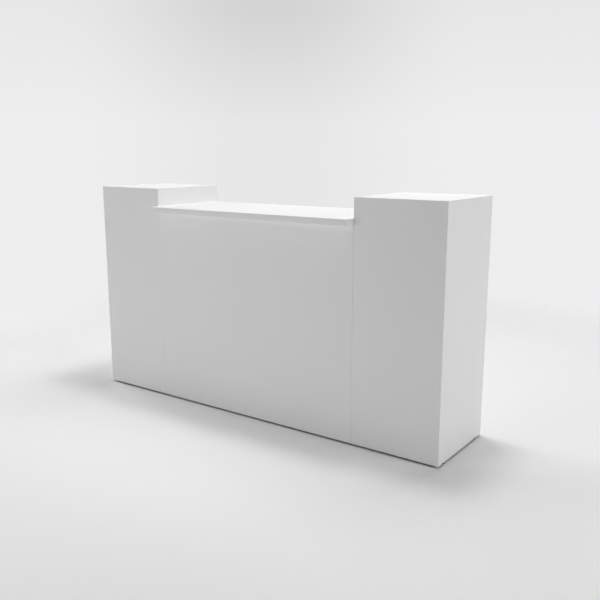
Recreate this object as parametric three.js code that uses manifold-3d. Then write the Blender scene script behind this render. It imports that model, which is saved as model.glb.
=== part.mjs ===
// A bar counter: two tall cupboard towers with a lower module of open shelves between them, under a countertop.
// Millimetres, +Z up. Customers stand on the -Y side and the staff on the +Y side, where the doors are.
// The origin is on the floor, under the middle of the counter with its countertop and door handles.

import * as THREE from 'three';
import { mergeVertices } from 'three/addons/utils/BufferGeometryUtils.js';
import Module from 'manifold-3d';

// Modules
const counterHeight = 1100;
const cabinetDepth = 450;
const towerWidth = 425;
const middleWidth = 1169;
const moduleGap = 0.5;
const floorGap = 8;

// Countertop
const countertopHeight = 1011;
const countertopThickness = 28;
const countertopOverhang = 57;

// Boards and their joints
const board = 18;
const mitreGap = 0.3;
const fitGap = 0.3;

// Plinth
const bottomPanelHeight = 90;
const toeSpace = 50;

// Shelves on pins
const shelfThickness = 18;
const shelfPlay = 0.5;
const shelfSetback = 25;
const shelfPinRadius = 2.5;
const shelfPinReach = 9;
const shelfPinInset = 60;
const seatGap = 0.3;
const towerShelfShares = [1 / 3, 2 / 3];
const middleShelfShares = [1 / 2];

// Doors
const doorThickness = 18;
const doorGap = 2;

// Butt hinges
const hingeHeight = 75;
const hingeInset = 120;
const leafThickness = 1.5;
const leafPlay = 0.6;
const leafMargin = 3;
const leafScrewRadius = 2;
const leafScrewShares = [-1 / 3, 0, 1 / 3];
const knuckleCount = 5;
const knuckleRadius = 4;
const knucklePlay = 0.3;
const barrelGap = 0.4;
const hingePinRadius = 2;
const hingePinPlay = 0.25;
const hingePinCapRadius = 3;
const hingePinCapHeight = 1.5;

// Cam locks
const lockHeight = 700;
const lockSetback = 32;
const lockBodyRadius = 9.5;
const lockBodyReach = 5;
const lockRoseRadius = 12;
const lockRoseThickness = 2;
const lockPlay = 0.3;
const plugRadius = 6;
const keywayWidth = 1.6;
const keywayHeight = 8;
const keywayDepth = 4;
const tenonSize = 5;
const camThickness = 2.5;
const camWidth = 12;
const camBite = 6;
const camSlotPlay = 1;

// Door handles
const handleHeight = 560;
const handleSetback = 40;
const handleSpacing = 128;
const handleReach = 32;
const handleWidth = 12;
const handleThickness = 8;
const handleInnerRadius = 6;

// Levelling feet
const footInset = 60;
const footPadRadius = 8;
const footChamfer = 1;
const footStemRadius = 4;
const footStemLength = 30;
const footPlay = 0.3;

// Fineness of the round shapes, and how far a cutting shape runs past what it cuts
const roundSides = 16;
const smallSides = 10;
const cornerSteps = 6;
const overrun = 1;

// Levels and widths that several pieces share
const towerPanelHeight = counterHeight - floorGap;
const towerCeiling = counterHeight - board;
const towerInnerHalf = towerWidth / 2 - board;
const cupboardFloor = bottomPanelHeight + board;
const middleTop = countertopHeight - countertopThickness - fitGap;
const middleCeiling = middleTop - board;
const middleInnerHalf = middleWidth / 2 - board;
const bayWidth = middleInnerHalf - board / 2;
const shelfFront = board + shelfPlay;
const towerShelfBack = cabinetDepth - doorThickness - shelfSetback;
const middleShelfBack = cabinetDepth - shelfSetback;
const towerShelfLevels = levelsBetween(cupboardFloor, towerCeiling, towerShelfShares);
const middleShelfLevels = levelsBetween(cupboardFloor, middleCeiling, middleShelfShares);

// Door and lock places that the panels and the fittings share
const doorWidth = 2 * (towerInnerHalf - doorGap);
const doorBase = cupboardFloor + doorGap;
const doorHeight = towerCeiling - doorGap - doorBase;
const barrelReach = barrelGap + knuckleRadius;
const leafWidth = doorThickness - leafMargin;
const leafRecess = leafThickness + (leafPlay - doorGap) / 2 + fitGap;
const camReach = lockSetback + doorGap + camBite;
const camDepth = doorThickness + lockBodyReach + lockPlay;

const wasm = await Module();
wasm.setup();

const whiteLacquer = () => new THREE.MeshStandardMaterial({ color: 0xf5f5f4, roughness: 0.45 });
const whiteMelamine = () => new THREE.MeshStandardMaterial({ color: 0xefefed, roughness: 0.55 });
const zincSteel = () => new THREE.MeshStandardMaterial({ color: 0xb9bcbf, roughness: 0.35, metalness: 1 });
const satinNickel = () => new THREE.MeshStandardMaterial({ color: 0xc9c7c2, roughness: 0.3, metalness: 1 });
const blackNylon = () => new THREE.MeshStandardMaterial({ color: 0x1c1c1d, roughness: 0.6 });

function levelsBetween(floor, ceiling, shares) {
  return shares.map((share) => floor + (ceiling - floor) * share);
}

function piece(name, geometry, finish) {
  const mesh = new THREE.Mesh(geometry, finish());
  mesh.name = name;
  return mesh;
}

// A closed geometry as a solid that can be joined and cut
function solidOf(geometry) {
  const bare = geometry.clone();
  bare.deleteAttribute('normal');
  bare.deleteAttribute('uv');
  const merged = mergeVertices(bare);
  const vertProperties = merged.attributes.position.array;
  const triVerts = new Uint32Array(merged.index.array);
  return new wasm.Manifold(new wasm.Mesh({ numProp: 3, vertProperties, triVerts }));
}

// A joined or cut solid as a geometry with flat faces
function geometryOf(solid) {
  const { vertProperties, triVerts } = solid.getMesh();
  const indexed = new THREE.BufferGeometry();
  indexed.setAttribute('position', new THREE.BufferAttribute(vertProperties, 3));
  indexed.setIndex(new THREE.BufferAttribute(triVerts, 1));
  const geometry = indexed.toNonIndexed();
  geometry.computeVertexNormals();
  return geometry;
}

// A block between two opposite corners
function block(low, high) {
  const size = high.map((value, axis) => value - low[axis]);
  const middle = high.map((value, axis) => (value + low[axis]) / 2);
  return solidOf(new THREE.BoxGeometry(...size).translate(...middle));
}

// A round bar along X, Y or Z, from one end to the other, through the point where the other two axes are given
function bar(axis, radius, start, end, sides, at) {
  const geometry = new THREE.CylinderGeometry(radius, radius, end - start, sides);
  const middle = (start + end) / 2;
  if (axis === 'x') {
    geometry.rotateZ(-Math.PI / 2);
    geometry.translate(middle, at[0], at[1]);
  } else if (axis === 'y') {
    geometry.translate(at[0], middle, at[1]);
  } else {
    geometry.rotateX(Math.PI / 2);
    geometry.translate(at[0], at[1], middle);
  }
  return solidOf(geometry);
}

// A board as it lies on the bench: show face up at z = 0, lower edge at y = 0, middle of its width at x = 0.
// A mitred edge slopes in at 45 degrees from the show face, half the glue gap back from the board it meets.
function flatBoard(width, height, thickness, mitredEdges = []) {
  const geometry = new THREE.BoxGeometry(width, height, thickness);
  geometry.translate(0, height / 2, -thickness / 2);
  const corners = geometry.attributes.position;
  for (let corner = 0; corner < corners.count; corner += 1) {
    const [x, y, z] = [corners.getX(corner), corners.getY(corner), corners.getZ(corner)];
    const slope = z < -thickness / 2 ? thickness : 0;
    const inset = mitreGap / Math.SQRT2 + slope;
    const edgeX = x < 0 ? 'left' : 'right';
    const edgeY = y < height / 2 ? 'lower' : 'upper';
    const moveX = mitredEdges.includes(edgeX) ? -Math.sign(x) * inset : 0;
    const moveY = mitredEdges.includes(edgeY) ? Math.sign(height / 2 - y) * inset : 0;
    corners.setXYZ(corner, x + moveX, y + moveY, z);
  }
  geometry.computeVertexNormals();
  return geometry;
}

// Stands a flat board up, with its show face to the named side and the middle of its lower edge at x, y, z
function stand(mesh, side, x, y, z) {
  const turns = { front: 0, right: Math.PI / 2, back: Math.PI, left: -Math.PI / 2 };
  mesh.rotation.set(Math.PI / 2, 0, turns[side], 'ZYX');
  mesh.position.set(x, y, z);
  return mesh;
}

// Lays a board down with its show face up at the given height and its lower edge towards the front
function lay(mesh, x, y, z) {
  mesh.position.set(x, y, z);
  return mesh;
}

// The depths from the front at which a shelf's two rows of pins stand
function pinDepths(shelfBack) {
  return [shelfFront + shelfPinInset, shelfBack - shelfPinInset];
}

// A side panel on the bench, drilled for its feet, with the pins that carry its shelves.
// Its front edge lies at +x when frontSign is 1 and at -x when it is -1.
function sidePanel(frontDepth, height, mitredEdges, frontSign, levels, shelfBack) {
  const width = cabinetDepth - frontDepth;
  const across = (depth) => frontSign * (frontDepth + width / 2 - depth);
  let panel = solidOf(flatBoard(width, height, board, mitredEdges));
  for (const depth of [footInset, cabinetDepth - footInset]) {
    const top = footStemLength + footPlay;
    const at = [across(depth), -board / 2];
    panel = panel.subtract(bar('y', footStemRadius + footPlay, -overrun, top, roundSides, at));
  }
  for (const level of levels) {
    for (const depth of pinDepths(shelfBack)) {
      const at = [across(depth), level - seatGap - shelfPinRadius - floorGap];
      panel = panel.add(bar('z', shelfPinRadius, -board - shelfPinReach, -board + overrun, smallSides, at));
    }
  }
  return panel;
}

// The outer side panel of a tower also has a recess for each hinge's frame leaf, open at the back edge
function outerSidePanel() {
  let panel = sidePanel(0, towerPanelHeight, ['right', 'upper'], 1, towerShelfLevels, towerShelfBack);
  for (const level of hingeLevels()) {
    const half = hingeHeight / 2 + fitGap;
    const back = -cabinetDepth / 2;
    const low = [back - overrun, level - floorGap - half, -board - overrun];
    const high = [back + leafWidth + fitGap, level - floorGap + half, -board + leafRecess];
    panel = panel.subtract(block(low, high));
  }
  return geometryOf(panel);
}

// The inner side panel of a tower also has the slot that the lock's cam turns into.
// The slot reaches down to where the cam's tip first passes the panel's face on its way up.
function innerSidePanel() {
  const panel = sidePanel(0, towerPanelHeight, ['left', 'upper'], -1, towerShelfLevels, towerShelfBack);
  const cutIn = lockSetback + doorGap;
  const drop = Math.sqrt(camReach ** 2 - cutIn ** 2) + camSlotPlay;
  const rise = camWidth / 2 + camSlotPlay;
  const back = cabinetDepth / 2 - camDepth;
  const level = lockHeight - floorGap;
  const low = [back - camThickness - camSlotPlay, level - drop, -board - overrun];
  const high = [back + camSlotPlay, level + rise, -board + camBite + camSlotPlay];
  return geometryOf(panel.subtract(block(low, high)));
}

function middleSidePanel(frontSign) {
  const frontDepth = board + fitGap;
  const height = middleTop - floorGap;
  return geometryOf(sidePanel(frontDepth, height, [], frontSign, middleShelfLevels, middleShelfBack));
}

// The divider stands on the bottom panel and has pins through it, which carry the shelves of both bays
function divider() {
  const frontDepth = board + fitGap;
  const width = cabinetDepth - frontDepth;
  const base = cupboardFloor + fitGap;
  let panel = solidOf(flatBoard(width, middleCeiling - fitGap - base, board));
  for (const level of middleShelfLevels) {
    for (const depth of pinDepths(middleShelfBack)) {
      const at = [depth - frontDepth - width / 2, level - seatGap - shelfPinRadius - base];
      panel = panel.add(bar('z', shelfPinRadius, -board - shelfPinReach, shelfPinReach, smallSides, at));
    }
  }
  return geometryOf(panel);
}

// The door on the bench, show face up: hinge edge at +x, cut for the door leaves, and drilled for the lock
function door() {
  let panel = solidOf(flatBoard(doorWidth, doorHeight, doorThickness));
  for (const level of hingeLevels()) {
    const half = hingeHeight / 2 + fitGap;
    const low = [doorWidth / 2 - leafRecess, level - doorBase - half, -leafWidth - fitGap];
    const high = [doorWidth / 2 + overrun, level - doorBase + half, overrun];
    panel = panel.subtract(block(low, high));
  }
  const at = [lockSetback - doorWidth / 2, lockHeight - doorBase];
  const holeRadius = lockBodyRadius + lockPlay;
  panel = panel.subtract(bar('z', holeRadius, -doorThickness - overrun, overrun, roundSides, at));
  return geometryOf(panel);
}

function hingeLevels() {
  return [doorBase + hingeInset, doorBase + doorHeight - hingeInset];
}

// One leaf of a butt hinge about its pin's axis, with -y into the cupboard and the door on the +x side.
// side is -1 for the frame leaf, which has the outer knuckles, and 1 for the door leaf, which has those between.
function hingeLeaf(side) {
  const slice = hingeHeight / knuckleCount;
  const faces = [side * leafPlay / 2, side * (leafPlay / 2 + leafThickness)];
  const low = [Math.min(...faces), -barrelReach - leafWidth, -hingeHeight / 2];
  const high = [Math.max(...faces), 0, hingeHeight / 2];
  let leaf = block(low, high);
  for (let knuckle = 0; knuckle < knuckleCount; knuckle += 1) {
    const own = (knuckle % 2 === 0) === (side < 0);
    const level = (knuckle + 1 / 2) * slice - hingeHeight / 2;
    const half = (slice + (own ? -knucklePlay : knucklePlay)) / 2;
    const radius = knuckleRadius + (own ? 0 : knucklePlay);
    const barrel = bar('z', radius, level - half, level + half, roundSides, [0, 0]);
    leaf = own ? leaf.add(barrel) : leaf.subtract(barrel);
  }
  const boreEnd = hingeHeight / 2 + overrun;
  leaf = leaf.subtract(bar('z', hingePinRadius + hingePinPlay, -boreEnd, boreEnd, roundSides, [0, 0]));
  for (const share of leafScrewShares) {
    const at = [-barrelReach - leafWidth / 2, share * hingeHeight];
    const start = Math.min(...faces) - overrun;
    const end = Math.max(...faces) + overrun;
    leaf = leaf.subtract(bar('x', leafScrewRadius, start, end, smallSides, at));
  }
  return geometryOf(leaf);
}

// The hinge pin, with a low cap at each end that keeps it in the knuckles
function hingePin() {
  const seat = hingeHeight / 2 + fitGap;
  const end = seat + hingePinCapHeight;
  const profile = [
    new THREE.Vector2(0, -end),
    new THREE.Vector2(hingePinCapRadius, -end),
    new THREE.Vector2(hingePinCapRadius, -seat),
    new THREE.Vector2(hingePinRadius, -seat),
    new THREE.Vector2(hingePinRadius, seat),
    new THREE.Vector2(hingePinCapRadius, seat),
    new THREE.Vector2(hingePinCapRadius, end),
    new THREE.Vector2(0, end),
  ];
  return new THREE.LatheGeometry(profile, roundSides).rotateX(Math.PI / 2);
}

// The hinge about its pin's axis: frame leaf on the side panel, door leaf on the door's edge
function hinge(name) {
  const group = new THREE.Group();
  group.add(piece(`${name}_frame_leaf`, hingeLeaf(-1), zincSteel));
  group.add(piece(`${name}_door_leaf`, hingeLeaf(1), zincSteel));
  group.add(piece(`${name}_pin`, hingePin(), zincSteel));
  return group;
}

// The lock's housing: a round body through the door with a rose on the show face, bored for the plug
function lockHousing() {
  const bore = plugRadius + lockPlay;
  const innerEnd = -doorThickness - lockBodyReach;
  const roseTop = lockPlay + lockRoseThickness;
  const profile = [
    new THREE.Vector2(bore, innerEnd),
    new THREE.Vector2(lockBodyRadius, innerEnd),
    new THREE.Vector2(lockBodyRadius, lockPlay),
    new THREE.Vector2(lockRoseRadius, lockPlay),
    new THREE.Vector2(lockRoseRadius, roseTop),
    new THREE.Vector2(bore, roseTop),
    new THREE.Vector2(bore, innerEnd),
  ];
  return new THREE.LatheGeometry(profile, roundSides);
}

// The plug that the key turns, with its keyway in front and the square tenon behind that drives the cam
function lockPlug() {
  const innerEnd = -doorThickness - lockBodyReach;
  const front = lockRoseThickness;
  const tenonEnd = innerEnd - lockPlay - camThickness;
  const half = tenonSize / 2;
  let plug = bar('y', plugRadius, innerEnd, front, roundSides, [0, 0]);
  plug = plug.add(block([-half, tenonEnd, -half], [half, innerEnd + overrun, half]));
  const keywayLow = [-keywayWidth / 2, front - keywayDepth, -keywayHeight / 2];
  const keywayHigh = [keywayWidth / 2, front + overrun, keywayHeight / 2];
  return geometryOf(plug.subtract(block(keywayLow, keywayHigh)));
}

// The cam: a flat steel strip with round ends, hung down from the tenon when the lock is open
function lockCam() {
  const radius = camWidth / 2;
  const tip = camReach - radius;
  const hole = tenonSize / 2 + lockPlay;
  const outline = new THREE.Shape();
  outline.absarc(0, 0, radius, 0, Math.PI, false);
  outline.absarc(0, -tip, radius, Math.PI, 2 * Math.PI, false);
  outline.closePath();
  const square = new THREE.Path();
  square.moveTo(-hole, -hole);
  square.lineTo(-hole, hole);
  square.lineTo(hole, hole);
  square.lineTo(hole, -hole);
  square.closePath();
  outline.holes.push(square);
  const options = { depth: camThickness, bevelEnabled: false, curveSegments: smallSides };
  return new THREE.ExtrudeGeometry(outline, options).rotateX(Math.PI / 2);
}

// The bow handle: one flat bar bent into a bow, standing on the door's show face
function doorHandle() {
  const halfOuter = (handleSpacing + handleThickness) / 2;
  const halfInner = (handleSpacing - handleThickness) / 2;
  const outerRadius = handleInnerRadius + handleThickness;
  const innerTop = handleReach - handleThickness;
  const bow = new THREE.Shape();
  bow.moveTo(halfOuter, fitGap);
  bow.absarc(halfOuter - outerRadius, handleReach - outerRadius, outerRadius, 0, Math.PI / 2, false);
  bow.absarc(outerRadius - halfOuter, handleReach - outerRadius, outerRadius, Math.PI / 2, Math.PI, false);
  bow.lineTo(-halfOuter, fitGap);
  bow.lineTo(-halfInner, fitGap);
  const innerX = halfInner - handleInnerRadius;
  const innerY = innerTop - handleInnerRadius;
  bow.absarc(-innerX, innerY, handleInnerRadius, Math.PI, Math.PI / 2, true);
  bow.absarc(innerX, innerY, handleInnerRadius, Math.PI / 2, 0, true);
  bow.lineTo(halfInner, fitGap);
  bow.closePath();
  const options = { depth: handleWidth, bevelEnabled: false, curveSegments: cornerSteps };
  const geometry = new THREE.ExtrudeGeometry(bow, options);
  return geometry.translate(0, 0, -handleWidth / 2).rotateY(Math.PI / 2);
}

// A levelling foot: a pad on the floor and a stem that screws up into a panel's lower edge
function foot() {
  const padTop = floorGap - fitGap;
  const stemTop = floorGap + footStemLength;
  const profile = [
    new THREE.Vector2(0, 0),
    new THREE.Vector2(footPadRadius - footChamfer, 0),
    new THREE.Vector2(footPadRadius, footChamfer),
    new THREE.Vector2(footPadRadius, padTop),
    new THREE.Vector2(footStemRadius, padTop),
    new THREE.Vector2(footStemRadius, stemTop),
    new THREE.Vector2(0, stemTop),
  ];
  return new THREE.LatheGeometry(profile, roundSides).rotateX(Math.PI / 2);
}

// A pair of feet under one side panel, near its front and its back
function feet(name, x) {
  const front = piece(`${name}_front`, foot(), blackNylon);
  const rear = piece(`${name}_rear`, foot(), blackNylon);
  front.position.set(x, footInset, 0);
  rear.position.set(x, cabinetDepth - footInset, 0);
  return [front, rear];
}

// The bottom panel and the kick board under it, set back to leave room for the toes
function base(name, innerHalf) {
  const width = 2 * (innerHalf - fitGap);
  const depth = cabinetDepth - board - fitGap;
  const kickHeight = bottomPanelHeight - fitGap - floorGap;
  const bottom = piece(`${name}_bottom_panel`, flatBoard(width, depth, board), whiteMelamine);
  const kick = piece(`${name}_kick_board`, flatBoard(width, kickHeight, board), whiteLacquer);
  lay(bottom, 0, board + fitGap, cupboardFloor);
  stand(kick, 'back', 0, cabinetDepth - toeSpace, floorGap);
  return [bottom, kick];
}

// A shelf that lies on its pins, between two upright boards
function shelf(name, clearWidth, x, shelfBack, level) {
  const geometry = flatBoard(clearWidth - 2 * shelfPlay, shelfBack - shelfFront, shelfThickness);
  return lay(piece(name, geometry, whiteMelamine), x, shelfFront, level + shelfThickness);
}

// The outer boards of a tower, mitred where they meet
function towerShell(name) {
  const frontGeometry = flatBoard(towerWidth, towerPanelHeight, board, ['left', 'right', 'upper']);
  const topGeometry = flatBoard(towerWidth, cabinetDepth, board, ['left', 'right', 'lower']);
  const front = piece(`${name}_front_panel`, frontGeometry, whiteLacquer);
  const outer = piece(`${name}_outer_side_panel`, outerSidePanel(), whiteLacquer);
  const inner = piece(`${name}_inner_side_panel`, innerSidePanel(), whiteLacquer);
  const top = piece(`${name}_top_panel`, topGeometry, whiteLacquer);
  stand(front, 'front', 0, 0, floorGap);
  stand(outer, 'left', -towerWidth / 2, cabinetDepth / 2, floorGap);
  stand(inner, 'right', towerWidth / 2, cabinetDepth / 2, floorGap);
  lay(top, 0, 0, counterHeight);
  return [front, outer, inner, top];
}

// The door, its handle and its lock, in the place where they close the cupboard
function doorWithFittings(name) {
  const panel = piece(`${name}_door`, door(), whiteLacquer);
  const handle = piece(`${name}_door_handle`, doorHandle(), satinNickel);
  const housing = piece(`${name}_lock_housing`, lockHousing(), satinNickel);
  const plug = piece(`${name}_lock_plug`, lockPlug(), satinNickel);
  const cam = piece(`${name}_lock_cam`, lockCam(), zincSteel);
  const freeEdge = doorWidth / 2;
  const lock = new THREE.Group();
  cam.position.y = -camDepth;
  lock.add(housing, plug, cam);
  lock.position.set(freeEdge - lockSetback, cabinetDepth, lockHeight);
  stand(panel, 'back', 0, cabinetDepth, doorBase);
  handle.position.set(freeEdge - handleSetback, cabinetDepth, handleHeight);
  return [panel, handle, lock];
}

function doorHinges(name) {
  const [lowerLevel, upperLevel] = hingeLevels();
  const axisX = doorGap / 2 - towerInnerHalf;
  const lower = hinge(`${name}_lower_hinge`);
  const upper = hinge(`${name}_upper_hinge`);
  lower.position.set(axisX, cabinetDepth + barrelReach, lowerLevel);
  upper.position.set(axisX, cabinetDepth + barrelReach, upperLevel);
  return [lower, upper];
}

// The left tower, about the middle of its front edge on the floor, hinged at its outer side
function tower(name) {
  const group = new THREE.Group();
  const [lowerLevel, upperLevel] = towerShelfLevels;
  const sideX = (towerWidth - board) / 2;
  group.add(...towerShell(name), ...base(name, towerInnerHalf));
  group.add(shelf(`${name}_lower_shelf`, 2 * towerInnerHalf, 0, towerShelfBack, lowerLevel));
  group.add(shelf(`${name}_upper_shelf`, 2 * towerInnerHalf, 0, towerShelfBack, upperLevel));
  group.add(...doorWithFittings(name), ...doorHinges(name));
  group.add(...feet(`${name}_foot_outer`, -sideX), ...feet(`${name}_foot_inner`, sideX));
  return group;
}

// The middle module: a front panel that covers its side panels, two open bays and the countertop
function middle() {
  const group = new THREE.Group();
  const depth = cabinetDepth - board - fitGap;
  const [shelfLevel] = middleShelfLevels;
  const sideX = (middleWidth - board) / 2;
  const bayX = (board + bayWidth) / 2;
  const topWidth = 2 * (middleInnerHalf - fitGap);
  const countertopDepth = countertopOverhang + cabinetDepth;
  const countertopBoard = flatBoard(middleWidth, countertopDepth, countertopThickness);
  const frontBoard = flatBoard(middleWidth, middleTop - floorGap, board);
  const countertop = piece('countertop', countertopBoard, whiteLacquer);
  const front = piece('middle_front_panel', frontBoard, whiteLacquer);
  const leftSide = piece('middle_left_side_panel', middleSidePanel(1), whiteMelamine);
  const rightSide = piece('middle_right_side_panel', middleSidePanel(-1), whiteMelamine);
  const top = piece('middle_top_panel', flatBoard(topWidth, depth, board), whiteMelamine);
  const upright = piece('middle_divider', divider(), whiteMelamine);
  lay(countertop, 0, -countertopOverhang, countertopHeight);
  stand(front, 'front', 0, 0, floorGap);
  stand(leftSide, 'left', -middleWidth / 2, cabinetDepth - depth / 2, floorGap);
  stand(rightSide, 'right', middleWidth / 2, cabinetDepth - depth / 2, floorGap);
  lay(top, 0, board + fitGap, middleTop);
  stand(upright, 'right', board / 2, cabinetDepth - depth / 2, cupboardFloor + fitGap);
  group.add(countertop, front, leftSide, rightSide, top, upright, ...base('middle', middleInnerHalf));
  group.add(shelf('middle_left_shelf', bayWidth, -bayX, middleShelfBack, shelfLevel));
  group.add(shelf('middle_right_shelf', bayWidth, bayX, middleShelfBack, shelfLevel));
  group.add(...feet('middle_foot_left', -sideX), ...feet('middle_foot_right', sideX));
  return group;
}

// The modules stand side by side, and the right tower is the left one mirrored
const left = tower('left');
const right = tower('right');
const towerX = (middleWidth + towerWidth) / 2 + moduleGap;
left.position.x = -towerX;
right.position.x = towerX;
right.scale.x = -1;

const modules = new THREE.Group();
modules.add(left, middle(), right);
modules.position.y = (countertopOverhang - cabinetDepth - handleReach) / 2;

const counter = new THREE.Group();
counter.name = 'bar_counter';
counter.add(modules);

export default counter;
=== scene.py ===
import math

import bmesh
import bpy
from mathutils import Matrix, Vector


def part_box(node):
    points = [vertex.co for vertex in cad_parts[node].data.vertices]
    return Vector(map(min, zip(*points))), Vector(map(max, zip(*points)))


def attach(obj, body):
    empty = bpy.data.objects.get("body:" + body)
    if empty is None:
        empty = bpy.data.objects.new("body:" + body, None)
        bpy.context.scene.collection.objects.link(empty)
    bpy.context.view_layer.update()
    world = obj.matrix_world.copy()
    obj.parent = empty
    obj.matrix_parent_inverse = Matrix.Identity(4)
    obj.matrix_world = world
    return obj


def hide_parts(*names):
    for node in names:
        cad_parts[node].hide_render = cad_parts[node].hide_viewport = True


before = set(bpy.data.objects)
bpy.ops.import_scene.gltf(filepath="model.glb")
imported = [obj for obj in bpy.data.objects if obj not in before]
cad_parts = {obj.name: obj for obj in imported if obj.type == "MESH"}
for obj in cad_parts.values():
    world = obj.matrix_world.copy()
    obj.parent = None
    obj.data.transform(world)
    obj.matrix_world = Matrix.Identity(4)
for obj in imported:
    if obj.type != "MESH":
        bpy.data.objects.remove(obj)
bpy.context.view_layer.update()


# Tower shells. Each is four 18 mm MDF boards, mitred and glued so that no edge shows, and sprayed as one.
# Sanding eases the outer corners in one pass, so each board is parted from the same eased box, along its
# mitres. The side boards are then drilled for their feet and shelf pins, and routed for hinges and cam.
mm = 0.001
board = 18 * mm
corner_ease = 0.8 * mm
arris_ease = 0.4 * mm
mitre_hairline = 0.03 * mm
square = math.radians(80)
square_on = 0.999
shading_crease = math.radians(32)
same_point = 1e-7
saw_tolerance = 1e-8
X, Y, Z = Vector((1, 0, 0)), Vector((0, 1, 0)), Vector((0, 0, 1))
sides = ("left", "right")


def linear(srgb_hex):
    """An sRGB hex colour as the linear values that the shaders take."""
    channels = [int(srgb_hex[start:start + 2], 16) / 255 for start in (1, 3, 5)]
    return (*[c / 12.92 if c <= 0.04045 else ((c + 0.055) / 1.055) ** 2.4 for c in channels], 1)


def add_node(tree, kind, inputs=None, **settings):
    """Adds a node with its settings. An input is given a value, or the output that feeds it."""
    node = tree.nodes.new(kind)
    for name, value in settings.items():
        setattr(node, name, value)
    for name, value in (inputs or {}).items():
        if isinstance(value, bpy.types.NodeSocket):
            tree.links.new(value, node.inputs[name])
        else:
            node.inputs[name].default_value = value
    return node


def new_material(name):
    """A new material, with its node tree, the place that its patterns read, and its surface shader."""
    material = bpy.data.materials.new(name)
    material.use_nodes = True
    tree = material.node_tree
    tree.nodes.clear()
    place = add_node(tree, "ShaderNodeTexCoord").outputs["Object"]
    surface = add_node(tree, "ShaderNodeBsdfPrincipled")
    add_node(tree, "ShaderNodeOutputMaterial", {"Surface": surface.outputs["BSDF"]})
    return material, tree, place, surface


# The lacquer is white two-part polyurethane, sprayed satin. The eye sees an even white with wide, soft
# highlights, a shade warmer or cooler from one pass of the gun to the next, over a faint orange peel. Below
# 8.2 mm, on the bottom edges, the white turns to a dark grey of painted shade, so the gap at the floor reads
# dark.
painted_gap_shade_below = 8.2 * mm
gun_pass = 340 * mm
orange_peel = 2.6 * mm
peel_height = 0.006 * mm
white_lacquer, tree, place, surface = new_material("satin_polyurethane_lacquer")
passes = add_node(tree, "ShaderNodeTexNoise", {"Vector": place, "Scale": 1 / gun_pass, "Detail": 2})
tint = add_node(tree, "ShaderNodeMix", {
    "Factor": passes.outputs["Fac"],
    "A": linear("#f2f2f1"),
    "B": linear("#f5f5f5"),
}, data_type="RGBA")
height = add_node(tree, "ShaderNodeSeparateXYZ", {"Vector": place}).outputs["Z"]
# Under this height the colour is a painted shade of grey, which darkens the gap under the boards
clear_of_gap_shade = add_node(tree, "ShaderNodeMath", {0: height, 1: painted_gap_shade_below}, operation="GREATER_THAN")
coat_and_gap_shade = add_node(tree, "ShaderNodeMix", {
    "Factor": clear_of_gap_shade.outputs[0],
    "A": linear("#6b6b6b"),
    "B": tint.outputs["Result"],
}, data_type="RGBA")
gloss = add_node(tree, "ShaderNodeMapRange", {
    "Value": passes.outputs["Fac"],
    "To Min": 0.48,
    "To Max": 0.56,
})
peel = add_node(tree, "ShaderNodeTexNoise", {"Vector": place, "Scale": 1 / orange_peel, "Detail": 1})
skin = add_node(tree, "ShaderNodeBump", {"Height": peel.outputs["Fac"], "Distance": peel_height})
surface.inputs["IOR"].default_value = 1.5
tree.links.new(coat_and_gap_shade.outputs["Result"], surface.inputs["Base Color"])
tree.links.new(gloss.outputs["Result"], surface.inputs["Roughness"])
tree.links.new(skin.outputs["Normal"], surface.inputs["Normal"])


def add_box(bm, low, high):
    """Adds a plain box between two corners."""
    size = Matrix.Diagonal((*(high - low), 1))
    bmesh.ops.create_cube(bm, size=1, matrix=Matrix.Translation((low + high) / 2) @ size)


def box_shape(low, high):
    """A plain box between two corners, to be eased, parted or cut."""
    bm = bmesh.new()
    add_box(bm, low, high)
    return bm


def ease(bm, edges, width, segments=3):
    """Rounds edges over, as sanding or tumbling does."""
    bmesh.ops.bevel(bm, geom=edges, offset=width, offset_type="OFFSET", segments=segments, profile=0.5,
                    affect="EDGES", clamp_overlap=True, material=-1)


def square_edges(bm):
    """The edges at about a right angle between two faces that both lie square to the axes."""
    def is_square(face):
        return max(abs(part) for part in face.normal) > square_on
    bm.normal_update()
    return [edge for edge in bm.edges if edge.is_manifold and edge.calc_face_angle() > square
            and all(is_square(face) for face in edge.link_faces)]


def part_along(bm, point, away):
    """Saws a closed shape along a plane, drops what lies beyond it, and closes the cut."""
    everything = bm.verts[:] + bm.edges[:] + bm.faces[:]
    cut = bmesh.ops.bisect_plane(bm, geom=everything, dist=saw_tolerance, plane_co=point, plane_no=away,
                                 clear_outer=True)
    rim = [item for item in cut["geom_cut"] if isinstance(item, bmesh.types.BMEdge)]
    bmesh.ops.holes_fill(bm, edges=rim)


def shell_board(low, high, facing, neighbours):
    """The board of an eased box that faces one way, mitred to the boards that face the other ways."""
    def on_surface(direction):
        return (low + high) / 2 + Vector(a * b / 2 for a, b in zip(high - low, direction))
    bm = box_shape(low, high)
    ease(bm, bm.edges[:], corner_ease)
    part_along(bm, on_surface(facing) - board * facing, -facing)
    for neighbour in neighbours:
        away = (neighbour - facing).normalized()
        part_along(bm, on_surface(facing + neighbour) - away * mitre_hairline / 2, away)
    ease(bm, square_edges(bm), arris_ease)
    return bm


def add_rod(bm, start, end, radius, sides=24):
    """Adds a round rod between two points."""
    turn = (end - start).to_track_quat("Z", "Y").to_matrix().to_4x4()
    bmesh.ops.create_cone(bm, cap_ends=True, segments=sides, radius1=radius, radius2=radius,
                          depth=(end - start).length, matrix=Matrix.Translation((start + end) / 2) @ turn)


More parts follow.
